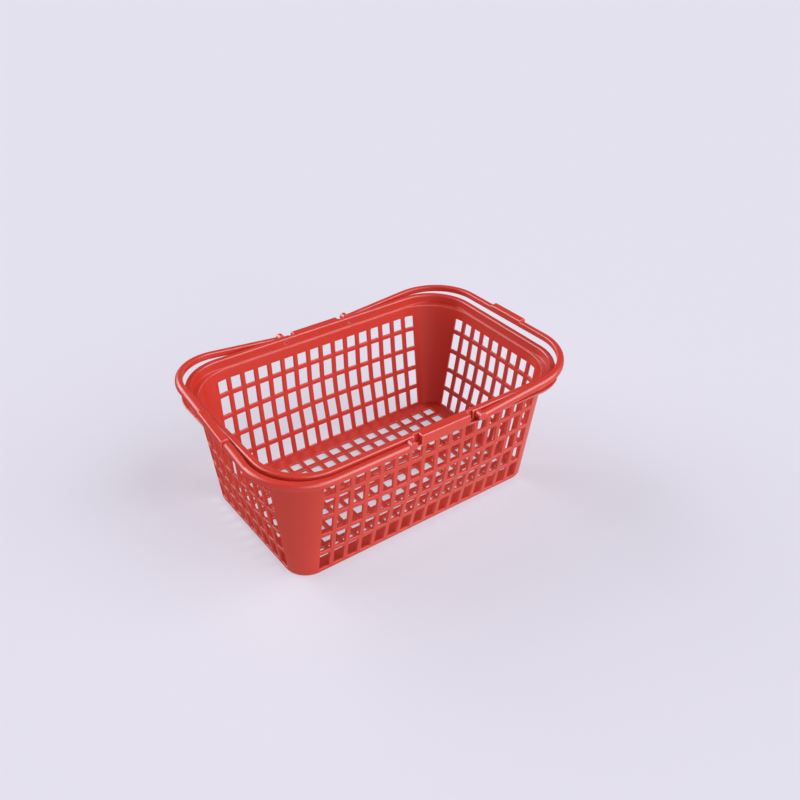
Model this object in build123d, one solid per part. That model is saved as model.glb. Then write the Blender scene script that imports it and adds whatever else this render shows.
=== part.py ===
from build123d import *
from math import pi, sin, sqrt
import os

# Sizes of the rim, in millimetres
rim_length = 240.0
rim_width = 154.0
rim_radius = 36.5
rim_top = 97.0
rim_thickness = 4.5
rim_height = 6.8
rim_edge = 1.2

# Flange under the rim, on which the folded handles rest
flange_thickness = 1.2
flange_overhang = 3.0

# Walls: outside of the base, lean, outward bow and corner rounding
base_inset = 17.5
base_length = rim_length - 2 * base_inset
base_width = rim_width - 2 * base_inset
base_radius = 16.5
wall_lean = 0.15
long_bow = 3.2
end_bow = 2.0
corner_growth = 0.255
wall_thickness = 1.9
floor_thickness = 2.0

# Lattice of the walls
long_columns = 16
end_columns = 9
full_rows = 4
top_row_share = 0.7
bar_width = 3.5
bar_height = 3.4
lattice_bottom = 3.4
lattice_drop = 15.1
long_margin = 13.8
end_margin = 12.0
frame_width = 1.8

# Grid of the floor
floor_columns = 16
floor_rows = 9
floor_bar = 3.4
floor_margin = 9.0

# Hinge block in the middle of each long side
block_length = 40.0

# Swing handles
handle_gap = 0.8
handle_end_gap = 1.3
handle_lift = 0.3
handle_width = 5.0
handle_thickness = 4.6
handle_radius = rim_radius + handle_gap + handle_width
handle_edge = 0.9
eye_radius = 2.9
pin_radius = 1.5
pin_clearance = 0.05
pin_end_gap = 0.6
pivot_offset = 28.3
pivot_drop = 3.2
left_front_angle = -0.1
left_back_angle = 6.4
right_front_angle = 5.8
right_back_angle = 4.8

# Grip in the middle of each handle
grip_length = 32.0
grip_out = 1.0
grip_up = 1.2
grip_edge = 1.3

# Heights that follow from the sizes above
flange_top = rim_top - rim_height
flange_bottom = flange_top - flange_thickness
pivot_height = rim_top - pivot_drop
handle_drop = pivot_height - flange_top - handle_lift - handle_thickness / 2
lattice_top = rim_top - lattice_drop

# Half sizes that follow from the sizes above
rim_x = rim_length / 2
rim_y = rim_width / 2
flange_y = rim_y + flange_overhang
handle_inner_x = rim_x + handle_end_gap
handle_inner_y = rim_y + handle_gap
handle_outer_x = handle_inner_x + handle_width
handle_outer_y = handle_inner_y + handle_width
handle_inner_radius = handle_radius - handle_width
bend_x = handle_outer_x - handle_radius
bend_y = handle_outer_y - handle_radius

# Lattice spacing that follows from the sizes above
long_grid = base_length - 2 * long_margin
end_grid = base_width - 2 * end_margin
long_pitch = long_grid / long_columns
end_pitch = end_grid / end_columns
row_span = lattice_top - lattice_bottom
hole_height = (row_span - full_rows * bar_height) / (full_rows + top_row_share)
zone_x = long_grid / 2 + frame_width
zone_y = end_grid / 2 + frame_width
reach = 400.0


def rounded_face(length, width, radius, height):
    """Flat rounded rectangle at a height."""
    return Plane.XY.offset(height) * RectangleRounded(length, width, radius)


def rounded_slab(length, width, radius, low, high):
    """Upright slab with rounded corners between two heights."""
    return extrude(rounded_face(length, width, radius, low), amount=high - low)


def side_line(start, middle, end, bow):
    """One side of an outline: an arc, or a line where it has no bow."""
    return ThreePointArc(start, middle, end) if bow > 0 else Line(start, end)


def bowed_face(half_x, half_y, radius, bow_x, bow_y, height):
    """Flat rounded rectangle at a height, with its sides bowed out in the middle."""
    flat_x = half_x - radius
    flat_y = half_y - radius
    mid_x = half_x - radius * (1 - sqrt(0.5))
    mid_y = half_y - radius * (1 - sqrt(0.5))
    edges = [
        side_line((-flat_x, -half_y), (0, -half_y - bow_y), (flat_x, -half_y), bow_y),
        ThreePointArc((flat_x, -half_y), (mid_x, -mid_y), (half_x, -flat_y)),
        side_line((half_x, -flat_y), (half_x + bow_x, 0), (half_x, flat_y), bow_x),
        ThreePointArc((half_x, flat_y), (mid_x, mid_y), (flat_x, half_y)),
        side_line((flat_x, half_y), (0, half_y + bow_y), (-flat_x, half_y), bow_y),
        ThreePointArc((-flat_x, half_y), (-mid_x, mid_y), (-half_x, flat_y)),
        side_line((-half_x, flat_y), (-half_x - bow_x, 0), (-half_x, -flat_y), bow_x),
        ThreePointArc((-half_x, -flat_y), (-mid_x, -mid_y), (-flat_x, -half_y)),
    ]
    return Plane.XY.offset(height) * make_face(edges)


def wall_face(inset, height):
    """Outline of the leaning wall at a height, moved in by an inset."""
    grow = wall_lean * height - inset
    radius = base_radius + corner_growth * height - inset
    between = floor_thickness < height < flange_bottom
    share = sin(pi * height / flange_bottom) ** 2 if between else 0.0
    half_x = base_length / 2 + grow
    half_y = base_width / 2 + grow
    return bowed_face(half_x, half_y, radius, end_bow * share, long_bow * share, height)


def wall_loft(inset, low):
    """Solid inside the bowed wall, from a height up to the flange."""
    heights = [low]
    for step in (1, 2, 3, 4):
        heights.append(step * flange_bottom / 4)
    return loft([wall_face(inset, height) for height in heights])


def zone_box(x0, x1, y0, y1, z0, z1):
    """Box between two corners."""
    box = Box(x1 - x0, y1 - y0, z1 - z0)
    return Pos((x0 + x1) / 2, (y0 + y1) / 2, (z0 + z1) / 2) * box


def cross_pin(x, y0, y1, z, radius):
    """Round bar across the basket, along Y."""
    bar = Rot(90, 0, 0) * Cylinder(radius, y1 - y0)
    return Pos(x, (y0 + y1) / 2, z) * bar


def row_limits():
    """Lower and upper height of each row of holes, from the floor up."""
    limits = []
    for row in range(full_rows + 1):
        low = lattice_bottom + row * (hole_height + bar_height)
        high = min(low + hole_height, lattice_top)
        limits.append((low, high))
    return limits


def save(shape, name):
    """Write one zone as its own file."""
    solids = shape.solids()
    part = solids[0] if len(solids) == 1 else Compound(children=list(solids))
    part.label = name
    export_step(part, "parts/" + name + ".step")


os.makedirs("parts", exist_ok=True)

# Tub: leaning walls and floor as moulded
cavity = wall_loft(wall_thickness, floor_thickness)
tub = wall_loft(0.0, 0.0) - cavity
floor_core = extrude(wall_face(wall_thickness, floor_thickness), amount=-floor_thickness)
shell = tub - floor_core

# Floor with its grid of square holes
floor_length = base_length - 2 * floor_margin
floor_width = base_width - 2 * floor_margin
floor_pitch_x = floor_length / floor_columns
floor_pitch_y = floor_width / floor_rows
floor_tools = []
for column in range(floor_columns):
    for row in range(floor_rows):
        x = (column + 0.5) * floor_pitch_x - floor_length / 2
        y = (row + 0.5) * floor_pitch_y - floor_width / 2
        tool = Box(floor_pitch_x - floor_bar, floor_pitch_y - floor_bar, 3 * floor_thickness)
        floor_tools.append(Pos(x, y, 0) * tool)
floor = floor_core - floor_tools
save(floor, "floor")

# Long walls with their lattice
front_zone = zone_box(-zone_x, zone_x, -reach, 0, -1, rim_top)
wall_front = shell & front_zone
long_tools = []
for low, high in row_limits():
    for column in range(long_columns):
        x0 = -long_grid / 2 + column * long_pitch + bar_width / 2
        x1 = x0 + long_pitch - bar_width
        long_tools.append(zone_box(x0, x1, -reach, 0, low, high))
wall_front = wall_front - long_tools
save(wall_front, "wall_front")
save(mirror(wall_front, about=Plane.XZ), "wall_back")

# End walls with their lattice
left_zone = zone_box(-reach, 0, -zone_y, zone_y, -1, rim_top)
wall_left = shell & left_zone
end_tools = []
for low, high in row_limits():
    for column in range(end_columns):
        y0 = -end_grid / 2 + column * end_pitch + bar_width / 2
        y1 = y0 + end_pitch - bar_width
        end_tools.append(zone_box(-reach, 0, y0, y1, low, high))
wall_left = wall_left - end_tools
save(wall_left, "wall_left")
save(mirror(wall_left, about=Plane.YZ), "wall_right")

# Plain corner panels
corner_zone = zone_box(-reach, -zone_x, -reach, -zone_y, -1, rim_top)
corner_front_left = shell & corner_zone
corner_front_right = mirror(corner_front_left, about=Plane.YZ)
save(corner_front_left, "corner_front_left")
save(corner_front_right, "corner_front_right")
save(mirror(corner_front_left, about=Plane.XZ), "corner_back_left")
save(mirror(corner_front_right, about=Plane.XZ), "corner_back_right")

# Stepped rim: flange, upright band, hinge blocks and pivot holes
flange = rounded_slab(
    rim_length + 2 * flange_overhang,
    rim_width + 2 * flange_overhang,
    rim_radius + flange_overhang,
    flange_bottom,
    flange_top,
)
mouth_low = wall_face(wall_thickness, flange_bottom)
mouth_high = wall_face(wall_thickness, flange_top)
flange = flange - loft([mouth_low, mouth_high], ruled=True)
band = rounded_slab(rim_length, rim_width, rim_radius, flange_top, rim_top)
band_hole = rounded_slab(
    rim_length - 2 * rim_thickness,
    rim_width - 2 * rim_thickness,
    rim_radius - rim_thickness,
    flange_top,
    rim_top,
)
band = band - band_hole
half_block = block_length / 2
block_back = rim_y - rim_thickness / 2
block_front = zone_box(-half_block, half_block, -flange_y, -block_back, flange_top, rim_top)
rim = flange + band + block_front + mirror(block_front, about=Plane.XZ)
hole_radius = pin_radius + pin_clearance
hole_tools = []
for side in (-1, 1):
    hole_tools.append(cross_pin(side * pivot_offset, -reach, reach, pivot_height, hole_radius))
rim = rim - hole_tools
rim = fillet(rim.faces().sort_by(Axis.Z)[-1].edges(), rim_edge)
save(rim, "rim")


def handle_ring():
    """Closed flat ring from which both handles are cut, about the height of the pivots."""
    low = -handle_drop - handle_thickness / 2
    high = low + handle_thickness
    outer = rounded_slab(2 * handle_outer_x, 2 * handle_outer_y, handle_radius, low, high)
    inner = rounded_slab(2 * handle_inner_x, 2 * handle_inner_y, handle_inner_radius, low, high)
    ring = outer - inner
    loops = ring.faces().filter_by(Plane.XY).edges()
    return fillet(loops, handle_edge)


def swing(shape, angle):
    """Shape of the left handle swung up about the pivot axis, which becomes the Y axis."""
    return Rot(0, angle, 0) * (Pos(pivot_offset, 0, 0) * shape)


def end_section(width, height, radius, x, y, z, angle):
    """Upright section of the end of the handle, swung up about the pivot axis."""
    face = Plane.XZ * RectangleRounded(width, height, radius)
    return swing(Pos(x, y, z) * face, angle)


def end_bar(front_angle, back_angle):
    """End of the handle between its bends, twisted from one angle to the other."""
    size = (handle_width, handle_thickness, handle_edge)
    x = -(handle_inner_x + handle_outer_x) / 2
    front = end_section(*size, x, -bend_y, -handle_drop, front_angle)
    back = end_section(*size, x, bend_y, -handle_drop, back_angle)
    return loft([front, back], ruled=True)


def grip_bar(front_angle, back_angle):
    """Thicker rounded grip in the middle of the end, twisted like the end."""
    size = (handle_width + grip_out, handle_thickness + grip_up, grip_edge)
    x = -(handle_inner_x + handle_outer_x + grip_out) / 2
    half = grip_length / 2
    middle = (front_angle + back_angle) / 2
    turn = (back_angle - front_angle) / 2 * half / bend_y
    z = grip_up / 2 - handle_drop
    front = end_section(*size, x, -half, z, middle - turn)
    back = end_section(*size, x, half, z, middle + turn)
    return loft([front, back], ruled=True)


def handle_zones(front_angle, back_angle):
    """Zones of a handle at the left end, with its pivot axis on the Y axis."""
    ring = handle_ring()
    half_grip = grip_length / 2
    arm_zone = zone_box(-bend_x, -pivot_offset, -reach, 0, -reach, reach)
    bend_zone = zone_box(-reach, -bend_x, -reach, -bend_y, -reach, reach)
    eye = cross_pin(-pivot_offset, -handle_outer_y, -handle_inner_y, 0, eye_radius)
    arm = (ring & arm_zone) + eye
    bend = ring & bend_zone
    pin_end = rim_y - rim_thickness + pin_end_gap
    pin = cross_pin(-pivot_offset, -handle_inner_y, -pin_end, 0, pin_radius)
    end = end_bar(front_angle, back_angle)
    front_end = end & zone_box(-reach, 0, -reach, -half_grip, -reach, reach)
    back_end = end & zone_box(-reach, 0, half_grip, reach, -reach, reach)
    zones = {}
    zones["arm_front"] = swing(arm, front_angle)
    zones["arm_back"] = swing(mirror(arm, about=Plane.XZ), back_angle)
    zones["bend_front"] = swing(bend, front_angle) + front_end
    zones["bend_back"] = swing(mirror(bend, about=Plane.XZ), back_angle) + back_end
    zones["grip"] = grip_bar(front_angle, back_angle)
    zones["pin_front"] = swing(pin, front_angle)
    zones["pin_back"] = swing(mirror(pin, about=Plane.XZ), back_angle)
    return zones


# Left handle, as warped as the plastic has become
for zone, shape in handle_zones(left_front_angle, left_back_angle).items():
    save(Pos(-pivot_offset, 0, pivot_height) * shape, "left_" + zone)

# Right handle: the same moulding turned round, with its own warp
for zone, shape in handle_zones(right_back_angle, right_front_angle).items():
    turned = Rot(0, 0, 180) * shape
    right_zone = zone.replace("front", "side").replace("back", "front").replace("side", "back")
    save(Pos(pivot_offset, 0, pivot_height) * turned, "right_" + right_zone)
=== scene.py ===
"""Looks of a small red picking basket: one lattice moulding and two swing handles."""

import itertools
import logging
import math
from contextlib import contextmanager
from dataclasses import dataclass
from enum import Enum
from functools import partial
from typing import Callable, Iterator, Mapping, Sequence

import bmesh
import bpy
from mathutils import Matrix, Vector

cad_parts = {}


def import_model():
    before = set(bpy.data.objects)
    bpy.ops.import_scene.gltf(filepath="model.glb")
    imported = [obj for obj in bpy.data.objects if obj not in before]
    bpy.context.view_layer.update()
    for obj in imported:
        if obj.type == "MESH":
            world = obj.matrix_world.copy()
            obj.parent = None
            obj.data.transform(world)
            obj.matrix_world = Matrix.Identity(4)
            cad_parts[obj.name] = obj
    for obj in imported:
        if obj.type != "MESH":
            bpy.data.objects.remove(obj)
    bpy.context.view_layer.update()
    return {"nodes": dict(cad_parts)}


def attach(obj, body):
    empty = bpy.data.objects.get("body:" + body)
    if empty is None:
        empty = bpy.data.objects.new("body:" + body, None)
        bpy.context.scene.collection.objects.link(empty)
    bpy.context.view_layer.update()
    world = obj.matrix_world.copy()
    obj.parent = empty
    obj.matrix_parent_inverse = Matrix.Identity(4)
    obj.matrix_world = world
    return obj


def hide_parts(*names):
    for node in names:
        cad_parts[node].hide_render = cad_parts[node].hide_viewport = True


LOG = logging.getLogger("picking_basket")
MM = 0.001
X_AXIS = Vector((1, 0, 0))
Y_AXIS = Vector((0, 1, 0))
Z_AXIS = Vector((0, 0, 1))
SMOOTH_ANGLE = math.radians(60.0)
SHARP_ANGLE = math.radians(30.0)
FLAT_FACE_WEIGHT = 80
ROUND_PROFILE = 0.5
CUT_TOLERANCE = 1e-7
MERGE_TOLERANCE = 1e-6
NEAR = 0.01 * MM
# Shares of an edge's direction that lie on one axis.
NEARLY_ALONG = 0.9
NEARLY_ACROSS = 0.1
LEVEL_ENOUGH = 0.5
# Strength of the wear and painted edge highlight on pieces that hands rub.
RUBBED_AND_HIGHLIGHT_SHARE = 0.55

Piece = bpy.types.Object
Material = bpy.types.Material
Limits = list[tuple[float, float]]
Test = Callable[[Vector, Vector], bool]


class Element(Enum):
    """Kind of mesh element that a pick acts on."""

    EDGE = "EDGE"
    FACE = "FACE"


class Rounded(Enum):
    """What a bevel in edit mode rounds."""

    EDGES = "EDGES"
    CORNERS = "VERTICES"


class Combine(Enum):
    """How a second solid acts on a piece."""

    CUT_AWAY = "DIFFERENCE"
    ADD_ON = "UNION"


class Side(Enum):
    """Side of the basket, with the outward direction of its wall."""

    FRONT = (0, -1)
    BACK = (0, 1)
    LEFT = (-1, 0)
    RIGHT = (1, 0)

    @property
    def long(self) -> bool:
        """Tell whether it is a long side, whose wall runs along X."""
        return self.value[1] != 0

    @property
    def along(self) -> Vector:
        """Give the direction along the wall."""
        return X_AXIS if self.long else Y_AXIS

    @property
    def sign(self) -> int:
        """Give the sign of the outward direction on its own axis."""
        return sum(self.value)


@dataclass(frozen=True)
class Outline:
    """Level rounded rectangle centred on the Z axis, in metres."""

    half_x: float
    half_y: float
    radius: float
    height: float


@dataclass(frozen=True)
class LeaningForm:
    """Outside of the basket: a rounded rectangle that grows with height."""

    half_x: float = 102.5 * MM
    half_y: float = 59.5 * MM
    radius: float = 16.5 * MM
    top: float = 89.0 * MM
    lean: float = 0.15
    corner_growth: float = 0.255
    wall: float = 1.9 * MM

    def at(self, height: float, inset: float = 0.0) -> Outline:
        """Give the outline of the form at a height.

        Args:
            height: height above the ground.
            inset: distance that the outline is moved in.

        Returns:
            The outline at that height.
        """
        grow = self.lean * height - inset
        radius = self.radius + self.corner_growth * height - inset
        return Outline(self.half_x + grow, self.half_y + grow, radius, height)


@dataclass(frozen=True)
class RimPlan:
    """Upright band of the rim and the pivots in it, which the handles fit."""

    half_x: float = 120.0 * MM
    half_y: float = 77.0 * MM
    radius: float = 36.5 * MM
    pivot_x: float = 28.3 * MM
    pivot_z: float = 93.8 * MM


def newest() -> Piece:
    """Give the active object, which is the one added or joined last."""
    return bpy.context.view_layer.objects.active


def deselect_everything() -> None:
    """Leave edit mode and select nothing, so that an operator acts on one piece."""
    active = newest()
    if active and active.mode != "OBJECT":
        bpy.ops.object.mode_set(mode="OBJECT")
    bpy.ops.object.select_all(action="DESELECT")


def make_active(piece: Piece) -> None:
    """Select one piece alone and make it the active one.

    Args:
        piece: object to select.
    """
    deselect_everything()
    piece.select_set(True)
    bpy.context.view_layer.objects.active = piece


def apply_place(piece: Piece) -> None:
    """Put the place, turn and scale of a piece into its mesh."""
    make_active(piece)
    bpy.ops.object.transform_apply(location=True, rotation=True, scale=True)


@contextmanager
def editing(piece: Piece) -> Iterator[None]:
    """Hold a piece in edit mode with all of it selected.

    Args:
        piece: object to edit.

    Yields:
        Nothing, while the piece is in edit mode.
    """
    make_active(piece)
    bpy.ops.object.mode_set(mode="EDIT")
    bpy.ops.mesh.select_all(action="SELECT")
    yield
    bpy.ops.object.mode_set(mode="OBJECT")


def pick(piece: Piece, element: Element, test: Test) -> int:
    """Select faces or sharp edges of a piece in edit mode.

    Args:
        piece: piece in edit mode.
        element: kind of element to select.
        test: takes the element's centre and its normal or direction.

    Returns:
        How many elements are selected.
    """
    bpy.ops.mesh.select_mode(type=element.value)
    bpy.ops.mesh.select_all(action="DESELECT")
    mesh = bmesh.from_edit_mesh(piece.data)
    chosen = []
    if element is Element.FACE:
        chosen = [f for f in mesh.faces if test(f.calc_center_median(), f.normal)]
    else:
        for edge in mesh.edges:
            start, end = (v.co for v in edge.verts)
            sharp = edge.calc_face_angle(math.pi) > SHARP_ANGLE
            if sharp and test((start + end) / 2, (end - start).normalized()):
                chosen.append(edge)
    for item in chosen:
        item.select_set(True)
    mesh.select_flush_mode()
    bmesh.update_edit_mesh(piece.data)
    return len(chosen)


def cut(point: Vector, normal: Vector, clear: bool = False, fill: bool = False) -> None:
    """Cut all of the piece in edit mode along a plane.

    Args:
        point: point on the plane.
        normal: normal of the plane.
        clear: whether the side that the normal points to is removed.
        fill: whether the cut is closed with a face.
    """
    bpy.ops.mesh.select_all(action="SELECT")
    bpy.ops.mesh.bisect(
        plane_co=point,
        plane_no=normal,
        use_fill=fill,
        clear_outer=clear,
        threshold=CUT_TOLERANCE,
    )


def round_over(
    radius: float, steps: int, what: Rounded = Rounded.EDGES, clamp: bool = False
) -> None:
    """Round the edges or corners that are selected in edit mode.

    Args:
        radius: size of the rounding.
        steps: number of faces across it.
        what: whether edges or corners are rounded.
        clamp: whether roundings that would overlap are made smaller.
    """
    bpy.ops.mesh.bevel(
        offset=radius,
        segments=steps,
        profile=ROUND_PROFILE,
        affect=what.value,
        clamp_overlap=clamp,
    )


def merge_points() -> None:
    """Merge the points that meet in edit mode and turn all faces outwards."""
    bpy.ops.mesh.select_all(action="SELECT")
    bpy.ops.mesh.remove_doubles(threshold=MERGE_TOLERANCE)
    bpy.ops.mesh.normals_make_consistent(inside=False)


def turn_faces(piece: Piece, towards: Vector) -> None:
    """Turn the faces of an open surface in edit mode one way.

    Args:
        piece: surface in edit mode.
        towards: direction that the faces look to.
    """
    bpy.ops.mesh.select_all(action="SELECT")
    bpy.ops.mesh.normals_make_consistent(inside=False)
    if pick(piece, Element.FACE, lambda _c, n: n.dot(towards) < 0):
        bpy.ops.mesh.flip_normals()


def apply_modifier(piece: Piece, kind: str, **settings: object) -> None:
    """Add a modifier to a piece and apply it.

    Args:
        piece: object that is changed.
        kind: type name of the modifier.
        settings: properties of the modifier.
    """
    make_active(piece)
    modifier = piece.modifiers.new(kind.lower(), kind)
    for key, value in settings.items():
        setattr(modifier, key, value)
    bpy.ops.object.modifier_apply(modifier=modifier.name)


def combine(piece: Piece, tool: Piece, how: Combine) -> None:
    """Cut a second solid away from a piece or add it on, and remove the second one."""
    apply_modifier(piece, "BOOLEAN", object=tool, operation=how.value, solver="EXACT")
    bpy.data.objects.remove(tool)


def join(pieces: Sequence[Piece]) -> Piece:
    """Join pieces into the first one and merge the points that they share.

    Args:
        pieces: objects to join.

    Returns:
        The joined object.
    """
    make_active(pieces[0])
    for piece in pieces:
        piece.select_set(True)
    bpy.ops.object.join()
    whole = newest()
    with editing(whole):
        merge_points()
    return whole


def add_loop(outline: Outline, segments: int) -> Piece:
    """Add a rounded rectangle as a closed wire.

    Args:
        outline: its size and height.
        segments: edges in each rounded corner.

    Returns:
        The new object.
    """
    deselect_everything()
    bpy.ops.mesh.primitive_plane_add(size=2, location=(0, 0, outline.height))
    loop = newest()
    loop.scale = (outline.half_x, outline.half_y, 1)
    apply_place(loop)
    with editing(loop):
        round_over(outline.radius, segments, Rounded.CORNERS)
        bpy.ops.mesh.delete(type="ONLY_FACE")
    return loop


def add_band(first: Outline, second: Outline, segments: int) -> Piece:
    """Add the surface between two rounded rectangles.

    Args:
        first: one edge of the band.
        second: its other edge.
        segments: faces in each rounded corner.

    Returns:
        The new object.
    """
    loops = [add_loop(first, segments), add_loop(second, segments)]
    make_active(loops[0])
    loops[1].select_set(True)
    bpy.ops.object.join()
    band = newest()
    with editing(band):
        bpy.ops.mesh.select_mode(type="EDGE")
        bpy.ops.mesh.select_all(action="SELECT")
        bpy.ops.mesh.bridge_edge_loops()
    return band


def add_tube(outlines: Sequence[Outline], segments: int) -> Piece:
    """Add a closed ring whose section goes through several outlines.

    Args:
        outlines: outlines in order round the section.
        segments: faces in each rounded corner.

    Returns:
        The new object.
    """
    following = [*outlines[1:], outlines[0]]
    bands = [add_band(a, b, segments) for a, b in zip(outlines, following)]
    return join(bands)


def shade(piece: Piece) -> None:
    """Shade a piece smooth, with its broad faces left flat between rounded edges.

    Args:
        piece: finished mesh object.
    """
    make_active(piece)
    bpy.ops.object.shade_smooth_by_angle(angle=SMOOTH_ANGLE)
    apply_modifier(piece, "WEIGHTED_NORMAL", keep_sharp=True, weight=FLAT_FACE_WEIGHT)


def hole_limits(half_size: float, count: int, bar: float) -> Limits:
    """Give the start and end of each hole in an evenly spaced row.

    Args:
        half_size: half the length of the row.
        count: number of holes.
        bar: width of the bars between them.

    Returns:
        Start and end of each hole, from the middle of the row.
    """
    pitch = 2 * half_size / count
    starts = [-half_size + i * pitch + bar / 2 for i in range(count)]
    return [(start, start + pitch - bar) for start in starts]


def within(place: float, limits: Limits) -> bool:
    """Tell whether a place lies in one of several holes."""
    return any(start < place < end for start, end in limits)


def direction_to(bearing: float, elevation: float) -> Vector:
    """Give the direction from the basket to a place round it.

    Args:
        bearing: angle from the front towards the right.
        elevation: angle above the ground.

    Returns:
        The direction, with a length of one.
    """
    flat = math.cos(elevation)
    x, y = math.sin(bearing) * flat, -math.cos(bearing) * flat
    return Vector((x, y, math.sin(elevation)))


def linear(code: str) -> tuple[float, float, float, float]:
    """Turn an sRGB hex colour to linear light.

    Args:
        code: hash sign and six hex digits.

    Returns:
        Red, green, blue and alpha.
    """
    parts = [int(code[i : i + 2], 16) / 255 for i in (1, 3, 5)]
    red, green, blue = (
        c / 12.92 if c <= 0.04045 else ((c + 0.055) / 1.055) ** 2.4 for c in parts
    )
    return red, green, blue, 1.0


def add_node(
    tree: bpy.types.NodeTree,
    kind: str,
    inputs: Mapping[str | int, object],
    **settings: object,
) -> bpy.types.Node:
    """Add a shader node.

    Args:
        tree: node tree that gets the node.
        kind: type name of the node, after the words that all shader nodes share.
        inputs: for each socket, its value or the output linked to it.
        settings: properties of the node.

    Returns:
        The new node.
    """
    node = tree.nodes.new(f"ShaderNode{kind}")
    for key, value in settings.items():
        setattr(node, key, value)
    for key, value in inputs.items():
        if isinstance(value, bpy.types.NodeSocket):
            tree.links.new(value, node.inputs[key])
        else:
            node.inputs[key].default_value = value
    return node


def empty_material(name: str) -> Material:
    """Add a material with no nodes in it.

    Args:
        name: name of the material.

    Returns:
        The new material.
    """
    material = bpy.data.materials.new(name)
    material.use_nodes = True
    material.node_tree.nodes.clear()
    return material


@dataclass(frozen=True)
class MouldedPolypropylene:
    """Injection-moulded red polypropylene: a satin skin with faint flow marks.

    Edges that hands rub are paler, in patches: partly wear, partly a painted highlight.
    """

    # The mould's fine grain makes highlights soft, and flow marks shift colour and gloss a little.
    # The real grain is too fine to show, so it is drawn coarser, at about a pixel of the render.
    name: str
    colour: str = "#D03726"
    flow_colour: str = "#C93424"
    roughness: float = 0.3
    roughness_spread: float = 0.06
    ior: float = 1.49
    shine: float = 1.0
    flow_size: float = 30.0 * MM
    flow_detail: float = 3.0
    grain_size: float = 0.9 * MM
    grain_height: float = 0.03 * MM
    grain_detail: float = 2.0
    grain_strength: float = 0.5
    # Pale pink of the edges: partly wear, partly a painted highlight on the rounded edges.
    worn_and_highlight_colour: str = "#EA948C"
    worn_and_highlight_share: float = 0.0
    worn_and_highlight_reach: float = 0.8 * MM
    worn_and_highlight_samples: int = 8
    # Wear and painted highlight start, and are full, at these shares of open space inside the edge.
    worn_and_highlight_start: float = 0.97
    worn_and_highlight_full: float = 0.72
    patch_size: float = 7.0 * MM
    patch_detail: float = 4.0
    patch_low: float = 0.3
    patch_high: float = 0.6
    patch_least: float = 0.3

    def edge_wear_and_highlight(
        self, add: Callable[..., bpy.types.Node], place: bpy.types.NodeSocket
    ) -> bpy.types.NodeSocket:
        """Find the outward edges, in patches, by how near the far side lies inside.

        Args:
            add: adds a node to the material.
            place: object coordinates.

        Returns:
            The share of wear and painted highlight, most at the edges.
        """
        inner = add(
            "AmbientOcclusion",
            {"Distance": self.worn_and_highlight_reach},
            inside=True,
            only_local=True,
            samples=self.worn_and_highlight_samples,
        )
        edge = add(
            "MapRange",
            {
                "Value": inner.outputs["AO"],
                "From Min": self.worn_and_highlight_start,
                "From Max": self.worn_and_highlight_full,
                "To Max": self.worn_and_highlight_share,
            },
        )
        patch = add(
            "TexNoise",
            {"Vector": place, "Scale": 1 / self.patch_size, "Detail": self.patch_detail},
        )
        broken = add(
            "MapRange",
            {
                "Value": patch.outputs["Fac"],
                "From Min": self.patch_low,
                "From Max": self.patch_high,
                "To Min": self.patch_least,
            },
        )
        wear_and_highlight = add("Math", {0: edge.outputs["Result"], 1: broken.outputs["Result"]}, operation="MULTIPLY")
        return wear_and_highlight.outputs[0]

    def material(self) -> Material:
        """Make the material.

        Returns:
            The material, on object coordinates.
        """
        made = empty_material(self.name)
        add = partial(add_node, made.node_tree)
        place = add("TexCoord", {}).outputs["Object"]
        flow = add("TexNoise", {"Vector": place, "Scale": 1 / self.flow_size, "Detail": self.flow_detail})
        tint = add(
            "Mix",
            {"Factor": flow.outputs["Fac"], "A": linear(self.colour), "B": linear(self.flow_colour)},
            data_type="RGBA",
        )
        # Paler edges: partly wear, partly a painted highlight.
        if self.worn_and_highlight_share > 0:
            tint = add(
                "Mix",
                {
                    "Factor": self.edge_wear_and_highlight(add, place),
                    "A": tint.outputs["Result"],
                    "B": linear(self.worn_and_highlight_colour),
                },
                data_type="RGBA",
            )
        dull = add(
            "MapRange",
            {
                "Value": flow.outputs["Fac"],
                "To Min": self.roughness - self.roughness_spread,
                "To Max": self.roughness + self.roughness_spread,
            },
        )
        grain = add(
            "TexNoise",
            {"Vector": place, "Scale": 1 / self.grain_size, "Detail": self.grain_detail},
        )
        bump = add(
            "Bump",
            {
                "Height": grain.outputs["Fac"],
                "Distance": self.grain_height,
                "Strength": self.grain_strength,
            },
        )
        skin = add(
            "BsdfPrincipled",
            {
                "Base Color": tint.outputs["Result"],
                "Roughness": dull.outputs["Result"],
                "IOR": self.ior,
                "Specular IOR Level": self.shine,
                "Normal": bump.outputs["Normal"],
            },
        )
        add("OutputMaterial", {"Surface": skin.outputs["BSDF"]})
        return made


@dataclass(frozen=True)
class PieceDress:
    """The body and material that a finished piece carries, with the name of a record slot."""

    body: str
    slot: str
    material: Material

    def put_on(self, piece: Piece, name: str, nodes: Sequence[str]) -> None:
        """Name a finished piece and tie it to the frame.

        Args:
            piece: finished mesh object.
            name: name of the piece.
            nodes: CAD nodes that it stands for.
        """
        apply_place(piece)
        shade(piece)
        piece.name = name
        piece.data.name = name
        piece.data.materials.clear()
        piece.data.materials.append(self.material)
        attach(piece, self.body)
        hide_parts(*nodes)
        LOG.info("%s: %d faces, stands for %s", name, len(piece.data.polygons), nodes)


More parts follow.
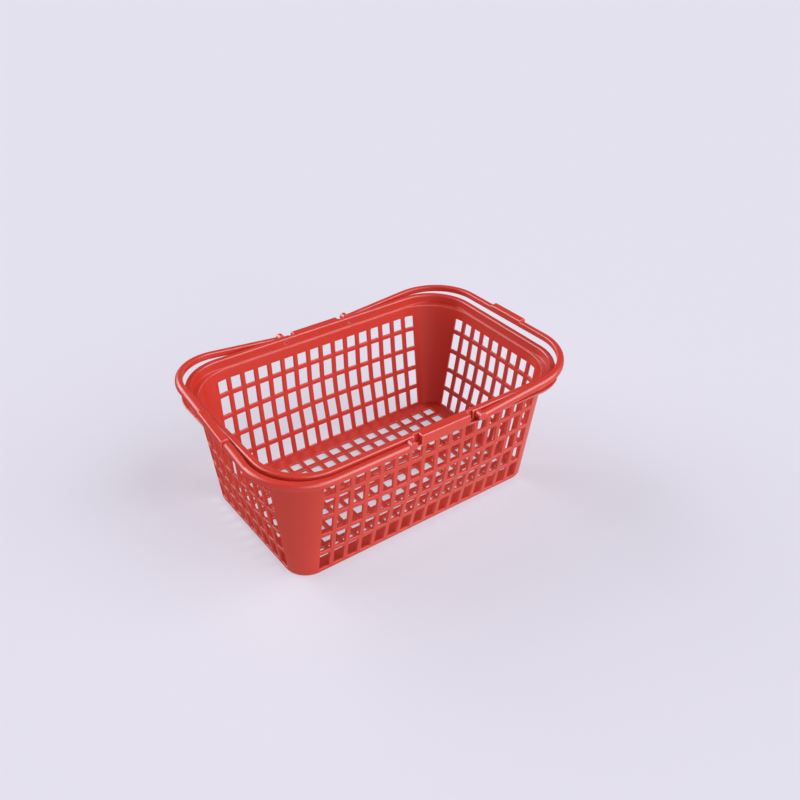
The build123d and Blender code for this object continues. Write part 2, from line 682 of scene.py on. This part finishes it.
@dataclass
class BasketShell:
    """Walls, corner panels and floor of the basket moulding."""

    dress: PieceDress
    form: LeaningForm
    floor_thickness: float = 2.0 * MM
    long_half_grid: float = 88.7 * MM
    end_half_grid: float = 47.5 * MM
    long_columns: int = 16
    end_columns: int = 9
    full_rows: int = 4
    top_row_share: float = 0.7
    bar_width: float = 3.5 * MM
    bar_height: float = 3.4 * MM
    lattice_bottom: float = 3.4 * MM
    lattice_top: float = 81.9 * MM
    frame_width: float = 1.8 * MM
    floor_columns: int = 16
    floor_rows: int = 9
    floor_bar: float = 3.4 * MM
    floor_half_x: float = 93.5 * MM
    floor_half_y: float = 50.5 * MM
    long_bow: float = 3.2 * MM
    end_bow: float = 2.0 * MM
    edge_radius: float = 0.45 * MM
    foot_radius: float = 0.9 * MM
    edge_steps: int = 2
    corner_segments: int = 48
    curve_step: float = 1.4 * MM
    sheet_distance: float = 200.0 * MM
    form_overrun: float = 3.0 * MM
    # These limits tell the edges of the holes and of the foot from the others.
    plain_foot: float = 1.0 * MM
    plain_top: float = 3.0 * MM
    foot_reach: float = 0.5 * MM
    foot_height: float = 0.3 * MM

    def row_limits(self) -> Limits:
        """Give the height limits of the rows of holes.

        Returns:
            Lower and upper height of each row, from the floor up.
        """
        bars = self.full_rows * self.bar_height
        span = self.lattice_top - self.lattice_bottom - bars
        hole = span / (self.full_rows + self.top_row_share)
        limits = []
        for row in range(self.full_rows + 1):
            low = self.lattice_bottom + row * (hole + self.bar_height)
            limits.append((low, min(low + hole, self.lattice_top)))
        return limits

    def wall_lines(self, columns: Limits, half_zone: float, straight: float) -> list[float]:
        """Give the places of the upright cuts in a flat wall.

        Args:
            columns: limits of the columns of holes.
            half_zone: half the length of the wall.
            straight: distance from the middle past which the wall is curved.

        Returns:
            Places along the wall, with closer cuts where it is curved.
        """
        marks = [-half_zone, *[edge for hole in columns for edge in hole], half_zone]
        lines = []
        for start, end in zip(marks, marks[1:]):
            curved = max(abs(start), abs(end)) > straight
            steps = max(1, round((end - start) / self.curve_step)) if curved else 1
            lines += [start + (end - start) * i / steps for i in range(steps)]
        return lines[1:]

    def add_form(self) -> Piece:
        """Add the surface that the flat walls are pressed onto.

        Returns:
            The surface, a little higher and lower than the walls.
        """
        low = self.form.at(-self.form_overrun)
        high = self.form.at(self.form.top + self.form_overrun)
        return add_band(low, high, self.corner_segments)

    def add_sheet(self, side: Side, half_zone: float) -> Piece:
        """Add the flat sheet that a wall is made from, upright and outside the form.

        Args:
            side: side of the basket.
            half_zone: half the length of the wall.

        Returns:
            The sheet.
        """
        out_x, out_y = side.value
        half_height = self.form.top / 2
        deselect_everything()
        bpy.ops.mesh.primitive_plane_add(size=2)
        sheet = newest()
        far = Vector((out_x, out_y, 0)) * self.sheet_distance
        sheet.matrix_world = (
            Matrix.Translation(far + Z_AXIS * half_height)
            @ Matrix.Rotation(math.atan2(out_x, -out_y), 4, "Z")
            @ Matrix.Rotation(math.pi / 2, 4, "X")
            @ Matrix.Diagonal((half_zone, half_height, 1, 1))
        )
        apply_place(sheet)
        return sheet

    def cut_lattice(self, sheet: Piece, side: Side, columns: Limits, half_zone: float) -> None:
        """Cut the lattice holes out of a flat sheet.

        Args:
            sheet: flat sheet of the wall.
            side: side of the basket.
            columns: limits of the columns of holes.
            half_zone: half the length of the wall.
        """
        rows = self.row_limits()
        rim = self.form.at(self.form.top)
        straight = (rim.half_x if side.long else rim.half_y) - rim.radius

        def in_hole(centre: Vector, _normal: Vector) -> bool:
            """Tell the faces that fill the holes."""
            return within(centre.dot(side.along), columns) and within(centre.z, rows)

        with editing(sheet):
            for place in self.wall_lines(columns, half_zone, straight):
                cut(side.along * place, side.along)
            for height in itertools.chain.from_iterable(rows):
                cut(Z_AXIS * height, Z_AXIS)
            pick(sheet, Element.FACE, in_hole)
            bpy.ops.mesh.delete(type="FACE")

    def press_on(self, wall: Piece, side: Side) -> None:
        """Press a flat wall straight in, onto the leaning form.

        Args:
            wall: flat lattice.
            side: side of the basket.
        """
        form = self.add_form()
        apply_modifier(
            wall,
            "SHRINKWRAP",
            target=form,
            wrap_method="PROJECT",
            use_project_x=not side.long,
            use_project_y=side.long,
            use_project_z=False,
            use_negative_direction=side.sign > 0,
            use_positive_direction=side.sign < 0,
        )
        bpy.data.objects.remove(form)

    def bow_wall(self, wall: Piece, side: Side) -> None:
        """Bow a wall out in its middle, clamped at the floor, the rim and the corners.

        Args:
            wall: lattice on the leaning form.
            side: side of the basket.
        """
        group = wall.vertex_groups.new(name="bow")
        for point in wall.data.vertices:
            outline = self.form.at(point.co.z)
            half = outline.half_x if side.long else outline.half_y
            place = point.co.x if side.long else point.co.y
            across = max(0.0, 1 - (place / (half - outline.radius)) ** 2)
            upright = math.sin(math.pi * point.co.z / self.form.top) ** 2
            group.add([point.index], across * upright, "REPLACE")
        apply_modifier(
            wall,
            "DISPLACE",
            direction="Y" if side.long else "X",
            mid_level=0.0,
            strength=(self.long_bow if side.long else self.end_bow) * side.sign,
            vertex_group=group.name,
        )

    def thicken(self, panel: Piece) -> None:
        """Give a surface the thickness of the wall, inwards."""
        apply_modifier(
            panel,
            "SOLIDIFY",
            thickness=self.form.wall,
            offset=-1,
            use_even_offset=True,
            use_quality_normals=True,
        )

    def round_foot(self, piece: Piece) -> None:
        """Round the outer lower edge of a wall or corner in edit mode.

        Args:
            piece: wall or corner in edit mode.
        """
        base = self.form.at(0.0)

        def on_foot(centre: Vector, direction: Vector) -> bool:
            """Tell the level edges at the bottom of the outside."""
            over_x = max(abs(centre.x) - base.half_x + base.radius, 0)
            over_y = max(abs(centre.y) - base.half_y + base.radius, 0)
            outside = math.hypot(over_x, over_y) > base.radius - self.foot_reach
            low = centre.z < self.foot_height
            return outside and low and abs(direction.z) < LEVEL_ENOUGH

        pick(piece, Element.EDGE, on_foot)
        round_over(self.foot_radius, self.edge_steps, clamp=True)

    def build_wall(self, side: Side, name: str, node: str) -> None:
        """Make one lattice wall.

        Args:
            side: side of the basket.
            name: name of the piece.
            node: CAD node that it stands for.
        """
        half_grid = self.long_half_grid if side.long else self.end_half_grid
        count = self.long_columns if side.long else self.end_columns
        columns = hole_limits(half_grid, count, self.bar_width)
        half_zone = half_grid + self.frame_width
        wall = self.add_sheet(side, half_zone)
        self.cut_lattice(wall, side, columns, half_zone)
        self.press_on(wall, side)
        self.bow_wall(wall, side)
        self.thicken(wall)
        limit = half_grid - self.bar_width / 4

        def on_hole(centre: Vector, _direction: Vector) -> bool:
            """Tell the edges of the holes from the outline of the wall."""
            inside = abs(centre.dot(side.along)) < limit
            return inside and self.plain_foot < centre.z < self.form.top - self.plain_top

        with editing(wall):
            pick(wall, Element.EDGE, on_hole)
            round_over(self.edge_radius, self.edge_steps, clamp=True)
            self.round_foot(wall)
        self.dress.put_on(wall, name, [node])

    def build_corner(self, sign_x: int, sign_y: int, name: str, node: str) -> None:
        """Make one plain corner panel.

        Args:
            sign_x: -1 for the left end, 1 for the right end.
            sign_y: -1 for the front, 1 for the back.
            name: name of the piece.
            node: CAD node that it stands for.
        """
        zone_x = self.long_half_grid + self.frame_width
        zone_y = self.end_half_grid + self.frame_width
        panel = self.add_form()
        with editing(panel):
            cut(X_AXIS * sign_x * zone_x, X_AXIS * -sign_x, clear=True)
            cut(Y_AXIS * sign_y * zone_y, Y_AXIS * -sign_y, clear=True)
            cut(Vector(), -Z_AXIS, clear=True)
            cut(Z_AXIS * self.form.top, Z_AXIS, clear=True)
            turn_faces(panel, Vector((sign_x, sign_y, 0)))
        self.thicken(panel)
        with editing(panel):
            self.round_foot(panel)
        self.dress.put_on(panel, name, [node])

    def build_floor(self) -> None:
        """Make the floor with its grid of holes."""
        inside = self.form.at(self.floor_thickness, self.form.wall)
        columns = hole_limits(self.floor_half_x, self.floor_columns, self.floor_bar)
        rows = hole_limits(self.floor_half_y, self.floor_rows, self.floor_bar)
        margin = self.floor_bar / 4
        floor = add_loop(inside, self.corner_segments)

        def in_hole(centre: Vector, _normal: Vector) -> bool:
            """Tell the faces that fill the holes."""
            return within(centre.x, columns) and within(centre.y, rows)

        def on_hole(centre: Vector, _direction: Vector) -> bool:
            """Tell the edges of the holes from the outline of the floor."""
            in_x = abs(centre.x) < self.floor_half_x - margin
            return in_x and abs(centre.y) < self.floor_half_y - margin

        with editing(floor):
            bpy.ops.mesh.edge_face_add()
            for place in itertools.chain.from_iterable(columns):
                cut(X_AXIS * place, X_AXIS)
            for place in itertools.chain.from_iterable(rows):
                cut(Y_AXIS * place, Y_AXIS)
            pick(floor, Element.FACE, in_hole)
            bpy.ops.mesh.delete(type="FACE")
            turn_faces(floor, Z_AXIS)
        apply_modifier(floor, "SOLIDIFY", thickness=self.floor_thickness, offset=-1)
        with editing(floor):
            pick(floor, Element.EDGE, on_hole)
            round_over(self.edge_radius, self.edge_steps, clamp=True)
        self.dress.put_on(floor, "floor_grid", ["floor"])

    def build(self) -> None:
        """Make all the pieces of the shell."""
        for side in Side:
            label = side.name.lower()
            self.build_wall(side, f"{label}_lattice", f"wall_{label}")
        for (sign_y, depth), (sign_x, end) in itertools.product(
            ((-1, "front"), (1, "back")), ((-1, "left"), (1, "right"))
        ):
            label = f"{depth}_{end}"
            self.build_corner(sign_x, sign_y, f"{label}_corner_panel", f"corner_{label}")
        self.build_floor()


@dataclass
class SteppedRim:
    """Rim of the basket moulding: flange, upright band, hinge blocks and pivot holes."""

    dress: PieceDress
    form: LeaningForm
    plan: RimPlan
    thickness: float = 4.5 * MM
    overhang: float = 3.0 * MM
    flange_high: float = 90.2 * MM
    top: float = 97.0 * MM
    half_block: float = 20.0 * MM
    hole_radius: float = 1.55 * MM
    hole_facets: int = 32
    notch_start: float = 20.05 * MM
    notch_length: float = 4.15 * MM
    notch_depth: float = 1.6 * MM
    edge_radius: float = 1.2 * MM
    fine_share: float = 0.35
    edge_steps: int = 4
    corner_segments: int = 40

    def ring(self, offset: float, height: float) -> Outline:
        """Give the outline of the band, moved out by an offset, at a height."""
        plan = self.plan
        return Outline(plan.half_x + offset, plan.half_y + offset, plan.radius + offset, height)

    def build_blocks(self, rim: Piece) -> None:
        """Draw the hinge blocks out of the band, flush with the flange.

        Args:
            rim: ring of the rim, with sharp edges.
        """

        def on_band(centre: Vector, side: int) -> bool:
            """Tell the faces of the band that a block grows from."""
            level = self.flange_high < centre.z < self.top
            outer = abs(centre.y - side * self.plan.half_y) < NEAR
            return level and outer and abs(centre.x) < self.half_block

        def under_block(centre: Vector, _normal: Vector) -> bool:
            """Tell the faces of the flange that a block covers."""
            level = abs(centre.z - self.flange_high) < NEAR
            beyond = abs(centre.y) > self.plan.half_y
            return level and beyond and abs(centre.x) < self.half_block

        with editing(rim):
            for side in (-1, 1):
                cut(X_AXIS * side * self.half_block, X_AXIS)
            for side in (-1, 1):
                pick(rim, Element.FACE, lambda c, _n, side=side: on_band(c, side))
                bpy.ops.mesh.extrude_region_move(
                    TRANSFORM_OT_translate={"value": (0, side * self.overhang, 0)}
                )
            pick(rim, Element.FACE, under_block)
            bpy.ops.mesh.delete(type="FACE")
            merge_points()

    def round_edges(self, rim: Piece) -> None:
        """Round the top edges of the rim fully and its other edges less.

        Args:
            rim: rim with its blocks.
        """
        with editing(rim):
            pick(rim, Element.EDGE, lambda c, _d: self.form.top < c.z < self.top)
            bpy.ops.transform.edge_bevelweight(value=self.fine_share)
            pick(rim, Element.EDGE, lambda c, _d: c.z > self.top - NEAR)
            bpy.ops.transform.edge_bevelweight(value=1.0)
        apply_modifier(
            rim,
            "BEVEL",
            width=self.edge_radius,
            segments=self.edge_steps,
            limit_method="WEIGHT",
            use_clamp_overlap=False,
        )

    def notch_band(self, rim: Piece) -> None:
        """Cut the band back beside the blocks, where the ends of the handles turn.

        Args:
            rim: rim with rounded edges.
        """
        low = self.flange_high + self.edge_radius / 2
        height = 2 * (self.top - low)
        middle = self.notch_start + self.notch_length / 2
        for side_x, side_y in itertools.product((-1, 1), repeat=2):
            deselect_everything()
            bpy.ops.mesh.primitive_cube_add(
                size=1.0,
                location=(side_x * middle, side_y * self.plan.half_y, low + height / 2),
                scale=(self.notch_length, 2 * self.notch_depth, height),
            )
            combine(rim, newest(), Combine.CUT_AWAY)

    def drill_pivots(self, rim: Piece) -> None:
        """Drill the pivot holes through the band.

        Args:
            rim: rim with rounded edges.
        """
        for side in (-1, 1):
            deselect_everything()
            bpy.ops.mesh.primitive_cylinder_add(
                vertices=self.hole_facets,
                radius=self.hole_radius,
                depth=4 * self.plan.half_y,
                location=(side * self.plan.pivot_x, 0, self.plan.pivot_z),
                rotation=(math.pi / 2, 0, 0),
            )
            combine(rim, newest(), Combine.CUT_AWAY)

    def build(self) -> None:
        """Make the rim."""
        section = [
            self.form.at(self.form.top, self.form.wall),
            self.ring(self.overhang, self.form.top),
            self.ring(self.overhang, self.flange_high),
            self.ring(0.0, self.flange_high),
            self.ring(0.0, self.top),
            self.ring(-self.thickness, self.top),
            self.ring(-self.thickness, self.flange_high),
            self.form.at(self.flange_high, self.form.wall),
        ]
        rim = add_tube(section, self.corner_segments)
        self.build_blocks(rim)
        self.round_edges(rim)
        self.notch_band(rim)
        self.drill_pivots(rim)
        self.dress.put_on(rim, "stepped_rim", ["rim"])


@dataclass
class SwingHandle:
    """One swing handle: a twisted slim bar round one end, with a grip in its middle.

    It is built at the left end; a turn of half a circle takes it to the right end.
    """

    dress: PieceDress
    plan: RimPlan
    label: str
    front_lift: float
    back_lift: float
    turn: float
    gap: float = 0.8 * MM
    end_gap: float = 1.3 * MM
    width: float = 5.0 * MM
    thickness: float = 4.6 * MM
    drop: float = 1.0 * MM
    eye_radius: float = 2.9 * MM
    eye_facets: int = 40
    grip_length: float = 32.0 * MM
    grip_out: float = 1.0 * MM
    grip_up: float = 1.2 * MM
    grip_radius: float = 1.3 * MM
    grip_steps: int = 5
    edge_radius: float = 0.9 * MM
    brow_radius: float = 2.6 * MM
    edge_steps: int = 4
    fine_steps: int = 2
    corner_segments: int = 40

    def ring(self, offset: float, height: float) -> Outline:
        """Give an outline that follows the inside of the bar.

        Args:
            offset: distance that the outline is moved out.
            height: height above the pivots.

        Returns:
            The outline at that height.
        """
        half_x = self.plan.half_x + self.end_gap + offset
        half_y = self.plan.half_y + self.gap + offset
        return Outline(half_x, half_y, self.plan.radius + self.gap + offset, height)

    def lift_at(self, place: float) -> float:
        """Give the angle of the twisted end at a place along it.

        Args:
            place: distance from the middle towards the back.

        Returns:
            The angle above level.
        """
        ring = self.ring(0.0, 0.0)
        share = place / (ring.half_y - ring.radius)
        middle = (self.front_lift + self.back_lift) / 2
        return middle + share * (self.back_lift - self.front_lift) / 2

    def place(self, piece: Piece, front: float, back: float) -> None:
        """Swing the halves of a piece that is built folded level up to the rest pose.

        Args:
            piece: piece at the left end, with the pivots at height zero.
            front: angle of its front half.
            back: angle of its back half.
        """
        for side, angle in ((-1, front), (1, back)):
            with editing(piece):
                bpy.ops.mesh.select_mode(type="VERT")
                bpy.ops.mesh.select_all(action="DESELECT")
                mesh = bmesh.from_edit_mesh(piece.data)
                for point in mesh.verts:
                    point.select_set(point.co.y * side > 0)
                mesh.select_flush_mode()
                bmesh.update_edit_mesh(piece.data)
                bpy.ops.transform.rotate(
                    value=-angle,
                    orient_axis="Y",
                    orient_type="GLOBAL",
                    center_override=(-self.plan.pivot_x, 0, 0),
                )
        turn = Matrix.Rotation(self.turn, 4, "Z")
        piece.matrix_world = turn @ Matrix.Translation((0, 0, self.plan.pivot_z))

    def on_edge(self, centre: Vector, brow: bool) -> bool:
        """Tell the outer top edge of the bar, or else its other three edges.

        Args:
            centre: centre of an edge.
            brow: whether the outer top edge is wanted.

        Returns:
            Whether the edge is one of those wanted.
        """
        middle = self.ring(self.width / 2, 0.0)
        over_x = abs(centre.x) - (middle.half_x - middle.radius)
        over_y = abs(centre.y) - (middle.half_y - middle.radius)
        away = math.hypot(max(over_x, 0.0), max(over_y, 0.0)) - middle.radius
        outer = away + min(max(over_x, over_y), 0.0) > 0
        high = centre.z > -self.drop
        return (high and outer) == brow

    def add_eye(self, side: int) -> Piece:
        """Add the round eye at one tip of the bar.

        Args:
            side: -1 for the front tip, 1 for the back tip.

        Returns:
            The eye.
        """
        middle = self.plan.half_y + self.gap + self.width / 2
        deselect_everything()
        bpy.ops.mesh.primitive_cylinder_add(
            vertices=self.eye_facets,
            radius=self.eye_radius,
            depth=self.width,
            location=(-self.plan.pivot_x, side * middle, 0),
            rotation=(math.pi / 2, 0, 0),
        )
        eye = newest()
        apply_place(eye)
        with editing(eye):
            pick(eye, Element.EDGE, lambda _c, _d: True)
            round_over(self.edge_radius / 2, self.fine_steps)
        return eye

    def build_bar(self) -> Piece:
        """Make the bar with an eye at each tip.

        Returns:
            The bar, folded level.
        """
        low = -self.drop - self.thickness / 2
        high = low + self.thickness
        section = [
            self.ring(0.0, low),
            self.ring(self.width, low),
            self.ring(self.width, high),
            self.ring(0.0, high),
        ]
        bar = add_tube(section, self.corner_segments)
        with editing(bar):
            for radius, brow in ((self.brow_radius, True), (self.edge_radius, False)):
                pick(bar, Element.EDGE, lambda c, _d, brow=brow: self.on_edge(c, brow))
                round_over(radius, self.edge_steps)
            cut(X_AXIS * -self.plan.pivot_x, X_AXIS, clear=True, fill=True)
        for side in (-1, 1):
            combine(bar, self.add_eye(side), Combine.ADD_ON)
        return bar

    def build_grip(self) -> Piece:
        """Make the rounded grip.

        Returns:
            The grip, folded level.
        """
        inner = -self.plan.half_x - self.end_gap
        outer = inner - self.width - self.grip_out
        low = -self.drop - self.thickness / 2
        high = low + self.thickness + self.grip_up
        deselect_everything()
        bpy.ops.mesh.primitive_cube_add(size=1, location=((inner + outer) / 2, 0, (low + high) / 2))
        grip = newest()
        grip.scale = (inner - outer, self.grip_length, high - low)
        apply_place(grip)
        with editing(grip):
            pick(grip, Element.EDGE, lambda _c, d: abs(d.y) > NEARLY_ALONG)
            round_over(self.grip_radius, self.grip_steps)
            pick(grip, Element.EDGE, lambda _c, d: abs(d.y) < NEARLY_ACROSS)
            round_over(self.edge_radius / 2, self.fine_steps)
        return grip

    def build(self) -> None:
        """Make the bar and the grip and put them in their rest pose."""
        bar = self.build_bar()
        self.place(bar, self.front_lift, self.back_lift)
        parts = ("arm_front", "arm_back", "bend_front", "bend_back")
        nodes = [f"{self.label}_{part}" for part in parts]
        self.dress.put_on(bar, f"{self.label}_handle_bar", nodes)
        grip = self.build_grip()
        half = self.grip_length / 2
        self.place(grip, self.lift_at(-half), self.lift_at(half))
        self.dress.put_on(grip, f"{self.label}_handle_grip", [f"{self.label}_grip"])


@dataclass(frozen=True)
class PaleFloor:
    """Smooth pale ground that also serves as the backdrop."""

    # A matt painted sheet: it keeps soft shadows and stays pale far away. Reflections see a painted glow,
    # darker than the sheet and brighter to the right.
    colour: str = "#E0DEEB"
    lit_colour: str = "#F4F3FA"
    painted_reflection_colour: str = "#EADFD8"
    reach: float = 8.0
    backdrop_share: float = 0.6
    backdrop_level: float = 0.83
    painted_reflection_left: float = 0.22
    painted_reflection_right: float = 0.68
    painted_reflection_from: float = -130.0 * MM
    painted_reflection_to: float = 0.0

    def material(self) -> Material:
        """Make the material of the ground.

        Returns:
            The material, which mixes a lit sheet with an even glow; glossy rays see a painted reflection
            instead, brighter to the right.
        """
        made = empty_material("pale_table_top")
        add = partial(add_node, made.node_tree)
        rays = add("LightPath", {})
        seen = add(
            "Math",
            {0: rays.outputs["Is Camera Ray"], 1: rays.outputs["Is Transmission Ray"]},
            operation="MAXIMUM",
        )
        share = add("Math", {0: seen.outputs[0], 1: self.backdrop_share}, operation="MULTIPLY")
        lit = add("BsdfDiffuse", {"Color": linear(self.lit_colour)})
        glow = add("Emission", {"Color": linear(self.colour), "Strength": self.backdrop_level})
        even = add("MixShader", {0: share.outputs[0], 1: lit.outputs[0], 2: glow.outputs[0]})
        place = add("TexCoord", {}).outputs["Object"]
        across = add("SeparateXYZ", {"Vector": place})
        level = add(
            "MapRange",
            {
                "Value": across.outputs["X"],
                "From Min": self.painted_reflection_from,
                "From Max": self.painted_reflection_to,
                "To Min": self.painted_reflection_left,
                "To Max": self.painted_reflection_right,
            },
        )
        # Painted reflection: glossy rays see this glow, brighter to the right, in place of the lit sheet.
        painted_reflection = add(
            "Emission",
            {"Color": linear(self.painted_reflection_colour), "Strength": level.outputs["Result"]},
        )
        whole = add(
            "MixShader",
            {0: rays.outputs["Is Glossy Ray"], 1: even.outputs[0], 2: painted_reflection.outputs[0]},
        )
        add("OutputMaterial", {"Surface": whole.outputs[0]})
        return made

    def build(self) -> None:
        """Add the ground."""
        deselect_everything()
        bpy.ops.mesh.primitive_plane_add(size=2 * self.reach)
        floor = newest()
        floor.name = "table_top"
        floor.data.materials.append(self.material())


@dataclass(frozen=True)
class SoftLamp:
    """Far soft lamp, which lights everything evenly like a large softbox.

    Its angles are in degrees, with the bearing from the front towards the right.
    """

    name: str
    bearing: float
    elevation: float
    spread: float
    level: float
    colour: str = "#FBF7FF"

    def build(self) -> None:
        """Add the lamp, with its level as the brightness of a white sheet facing it."""
        direction = direction_to(math.radians(self.bearing), math.radians(self.elevation))
        data = bpy.data.lights.new(self.name, "SUN")
        data.angle = math.radians(self.spread)
        data.energy = self.level * math.pi
        data.color = linear(self.colour)[:3]
        lamp = bpy.data.objects.new(self.name, data)
        bpy.context.scene.collection.objects.link(lamp)
        lamp.location = direction
        lamp.rotation_euler = direction.to_track_quat("Z", "Y").to_euler()


@dataclass(frozen=True)
class PhotoCamera:
    """Camera at the viewing angle of the photograph."""

    azimuth: float = math.radians(-37.464)
    elevation: float = math.radians(34.055)
    roll: float = math.radians(1.398)
    distance: float = 661.23 * MM
    target: tuple[float, float, float] = (21.29 * MM, -1.94 * MM, 64.94 * MM)
    lens: float = 41.03
    sensor: float = 36.0
    nearest: float = 10.0 * MM

    def build(self) -> None:
        """Add the camera and make it the scene's own."""
        back = direction_to(self.azimuth, self.elevation)
        right = Vector((math.cos(self.azimuth), math.sin(self.azimuth), 0))
        up = back.cross(right)
        turned_right = right * math.cos(self.roll) + up * math.sin(self.roll)
        turned_up = up * math.cos(self.roll) - right * math.sin(self.roll)
        data = bpy.data.cameras.new("photo_camera")
        data.sensor_width = self.sensor
        data.lens = self.lens
        data.clip_start = self.nearest
        camera = bpy.data.objects.new("photo_camera", data)
        bpy.context.scene.collection.objects.link(camera)
        turn = Matrix((turned_right, turned_up, back)).transposed().to_4x4()
        spot = Vector(self.target) + back * self.distance
        camera.matrix_world = Matrix.Translation(spot) @ turn
        bpy.context.scene.camera = camera


@dataclass(frozen=True)
class Studio:
    """Plain soft studio round the basket."""

    sky: str = "#F4F5FA"
    sky_level: float = 0.09
    mirrored_sky: float = 0.05
    seen_sky: float = 0.74
    lamps: tuple[SoftLamp, ...] = (
        SoftLamp("key_softbox", bearing=42.0, elevation=41.0, spread=56.0, level=0.81),
        SoftLamp("front_panel", bearing=-10.0, elevation=20.0, spread=40.0, level=0.29),
        SoftLamp("left_softbox", bearing=-140.0, elevation=30.0, spread=46.0, level=0.62),
        SoftLamp("back_softbox", bearing=190.0, elevation=30.0, spread=30.0, level=0.28),
    )

    def build_sky(self) -> None:
        """Add the sky, which lights little and looks as pale as the ground."""
        world = bpy.data.worlds.new("studio")
        world.use_nodes = True
        world.node_tree.nodes.clear()
        add = partial(add_node, world.node_tree)
        rays = add("LightPath", {})
        level = add(
            "Math",
            {0: rays.outputs["Is Glossy Ray"], 1: self.mirrored_sky, 2: self.sky_level},
            operation="MULTIPLY_ADD",
        )
        seen = add(
            "Math",
            {0: rays.outputs["Is Camera Ray"], 1: self.seen_sky, 2: level.outputs[0]},
            operation="MULTIPLY_ADD",
        )
        sky = add("Background", {"Color": linear(self.sky), "Strength": seen.outputs[0]})
        add("OutputWorld", {"Surface": sky.outputs[0]})
        bpy.context.scene.world = world

    def build(self) -> None:
        """Add the ground, the lamps, the sky and the camera."""
        PaleFloor().build()
        for lamp in self.lamps:
            lamp.build()
        self.build_sky()
        bpy.context.scene.view_settings.view_transform = "Standard"
        PhotoCamera().build()


def dress_pins(frame: dict, material: Material) -> None:
    """Give the pins of the handles, which stay as they are, the handles' finish.

    Args:
        material: finish of the handles.
    """
    for name, node in frame["nodes"].items():
        if "_pin_" in name:
            node.data.materials.clear()
            node.data.materials.append(material)
            LOG.info("%s: kept, with the handles' finish", name)


def main() -> None:
    """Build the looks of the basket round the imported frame."""
    logging.basicConfig(level=logging.INFO, format="%(name)s: %(message)s")
    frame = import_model()
    basket_red = MouldedPolypropylene("red_polypropylene_basket").material()
    # The rim and handles get paler edges: partly wear, partly a painted highlight.
    worn_and_highlit = {"worn_and_highlight_share": RUBBED_AND_HIGHLIGHT_SHARE}
    rim_red = MouldedPolypropylene("red_polypropylene_rim", **worn_and_highlit).material()
    handle_red = MouldedPolypropylene("red_polypropylene_handle", **worn_and_highlit).material()
    form = LeaningForm()
    plan = RimPlan()
    basket = PieceDress("basket", "basket_red", basket_red)
    BasketShell(basket, form).build()
    rim = PieceDress("basket", "basket_red", rim_red)
    SteppedRim(rim, form, plan).build()
    left = PieceDress("left_handle", "handle_red", handle_red)
    lifts = {"front_lift": math.radians(-0.1), "back_lift": math.radians(6.4)}
    SwingHandle(left, plan, "left", **lifts, turn=0.0).build()
    right = PieceDress("right_handle", "handle_red", handle_red)
    # The half turn swaps front and back, so the front lift here is that of the back side.
    lifts = {"front_lift": math.radians(4.8), "back_lift": math.radians(5.8)}
    SwingHandle(right, plan, "right", **lifts, turn=math.pi).build()
    dress_pins(frame, handle_red)
    Studio().build()


if __name__ == "__main__":
    main()
